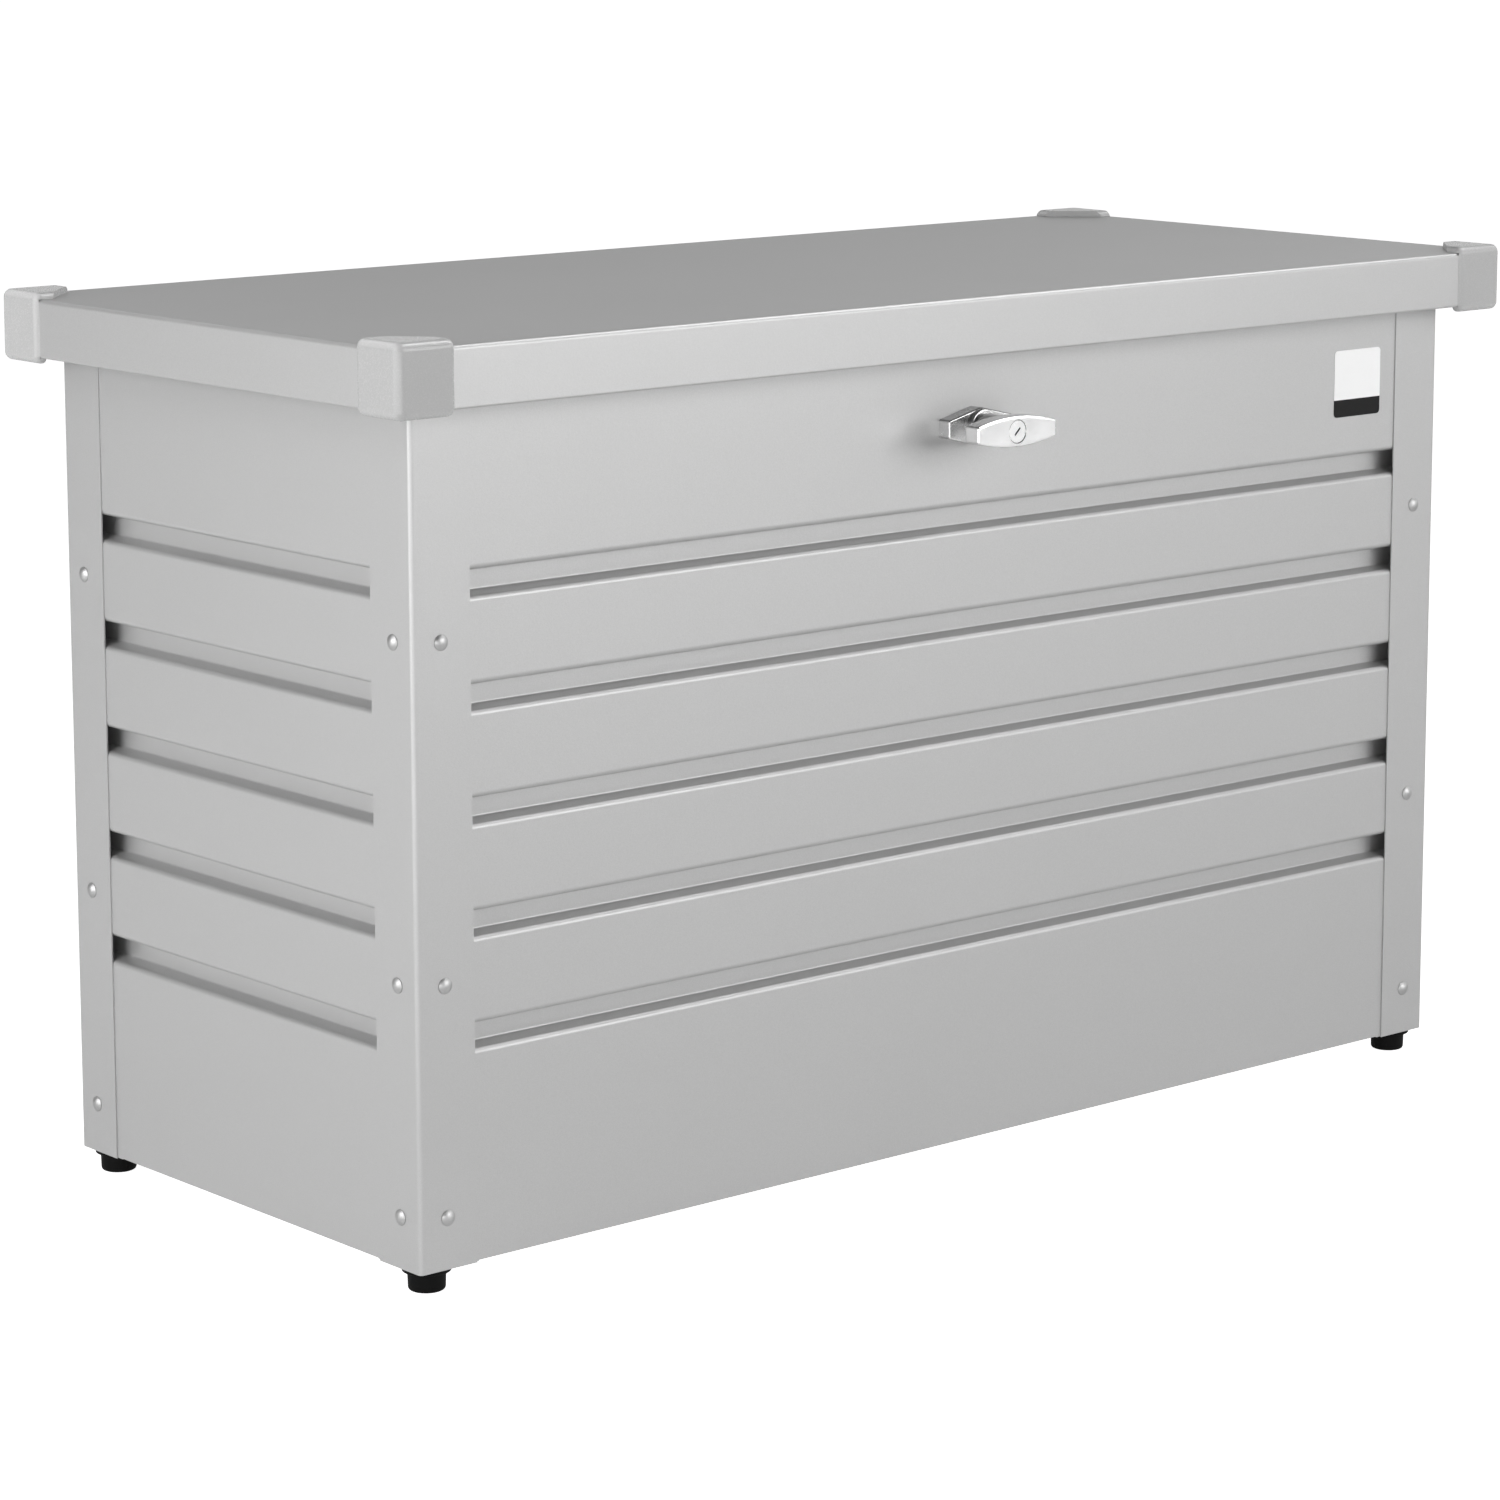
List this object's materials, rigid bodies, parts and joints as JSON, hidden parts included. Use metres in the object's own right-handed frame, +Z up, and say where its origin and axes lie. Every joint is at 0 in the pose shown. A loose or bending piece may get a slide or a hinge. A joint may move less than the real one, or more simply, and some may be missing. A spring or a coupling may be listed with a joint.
{
  "type": "deck storage box",
  "caption": "Sheet-metal deck storage box with grooved walls, corner posts, a hinged overhanging lid with corner caps, a T-handle lock and gas struts.",
  "frame": {"origin": "on the ground under the middle of the box's outline, with the lid closed", "axes": "+X along the box's length, to the right seen from the front; +Y to the back, where the hinges are; +Z up"},
  "size_m": [1.01, 0.4626, 0.613],
  "materials": {
    "grey_sheet": "satin powder coat, light metallic grey",
    "cap_plastic": "fine moulded matte, light grey",
    "zinc_steel": "galvanised",
    "fastener_steel": "satin stainless",
    "foot_rubber": "matte black",
    "seal_rubber": "matte dark",
    "satin_chrome": "satin chrome plated casting",
    "lock_steel": "satin",
    "black_paint": "gloss black",
    "rod_chrome": "polished",
    "label_film": "satin film, plain"
  },
  "bodies": {
    "box": {"front_panel": "grey_sheet", "rear_panel": "grey_sheet", "left_panel": "grey_sheet", "right_panel": "grey_sheet", "corner_post_front_left": "grey_sheet", "corner_post_front_right": "grey_sheet", "corner_post_rear_left": "grey_sheet", "corner_post_rear_right": "grey_sheet", "corner_bracket_front_left": "zinc_steel", "corner_bracket_front_right": "zinc_steel", "corner_bracket_rear_left": "zinc_steel", "corner_bracket_rear_right": "zinc_steel", "foot_front_left": "foot_rubber", "foot_front_right": "foot_rubber", "foot_rear_left": "foot_rubber", "foot_rear_right": "foot_rubber", "floor_panel": "zinc_steel", "floor_rail_front": "zinc_steel", "floor_rail_rear": "zinc_steel", "post_screws": "fastener_steel", "post_nuts": "zinc_steel", "foot_nuts": "zinc_steel", "front_seal": "seal_rubber", "rear_seal": "seal_rubber", "left_seal": "seal_rubber", "right_seal": "seal_rubber", "hinge_wall_leaf_left": "grey_sheet", "hinge_wall_leaf_right": "grey_sheet", "hinge_pin_left": "fastener_steel", "hinge_pin_right": "fastener_steel", "hinge_wall_rivets": "fastener_steel", "strut_wall_bracket_left": "grey_sheet", "strut_wall_bracket_right": "grey_sheet", "lock_rosette": "satin_chrome", "lock_nut": "zinc_steel", "label": "label_film"},
    "lid": {"lid_shell": "grey_sheet", "lid_cap_front_left": "cap_plastic", "lid_cap_front_right": "cap_plastic", "lid_cap_rear_left": "cap_plastic", "lid_cap_rear_right": "cap_plastic", "lid_stiffener_left": "grey_sheet", "lid_stiffener_right": "grey_sheet", "hinge_lid_leaf_left": "grey_sheet", "hinge_lid_leaf_right": "grey_sheet", "hinge_lid_rivets": "fastener_steel", "latch_striker": "zinc_steel", "strut_lid_bracket_left": "grey_sheet", "strut_lid_bracket_right": "grey_sheet"},
    "handle": {"handle": "satin_chrome", "latch_cam": "fastener_steel", "cam_screw": "fastener_steel"},
    "lock_plug": {"lock_plug": "lock_steel"},
    "strut_tube_left": {"strut_tube_left": "black_paint"},
    "strut_rod_left": {"strut_rod_left": "rod_chrome"},
    "strut_tube_right": {"strut_tube_right": "black_paint"},
    "strut_rod_right": {"strut_rod_right": "rod_chrome"}
  },
  "joints": [
    {"name": "lid_hinge", "type": "hinge", "parent": "box", "child": "lid", "pos_m": [0, 0.21775, 0.572], "axis": [-1, 0, 0], "range_deg": [0, 90]},
    {"name": "handle_turn", "type": "hinge", "parent": "box", "child": "handle", "pos_m": [0, -0.18525, 0.5177], "axis": [0, 1, 0], "range_deg": [0, 90]},
    {"name": "key_turn", "type": "hinge", "parent": "handle", "child": "lock_plug", "pos_m": [0, -0.23125, 0.5177], "axis": [0, 1, 0], "range_deg": [0, 90]},
    {"name": "strut_swing_left", "type": "hinge", "parent": "box", "child": "strut_tube_left", "pos_m": [-0.446, -0.04975, 0.3475], "axis": [1, 0, 0], "range_deg": [-4.14, 0]},
    {"name": "strut_stroke_left", "type": "slide", "parent": "strut_tube_left", "child": "strut_rod_left", "axis": [0, 0.6089, 0.7933], "range_m": [0, 0.12194]},
    {"name": "strut_swing_right", "type": "hinge", "parent": "box", "child": "strut_tube_right", "pos_m": [0.446, -0.04975, 0.3475], "axis": [1, 0, 0], "range_deg": [-4.14, 0]},
    {"name": "strut_stroke_right", "type": "slide", "parent": "strut_tube_right", "child": "strut_rod_right", "axis": [0, 0.6089, 0.7933], "range_m": [0, 0.12194]}
  ],
  "couplings": [
    {"joint": "strut_swing_left", "follows": "lid_hinge", "ratio": -0.046012},
    {"joint": "strut_stroke_left", "follows": "lid_hinge", "m_per_rad": 0.077626},
    {"joint": "strut_swing_right", "follows": "lid_hinge", "ratio": -0.046012},
    {"joint": "strut_stroke_right", "follows": "lid_hinge", "m_per_rad": 0.077626}
  ]
}
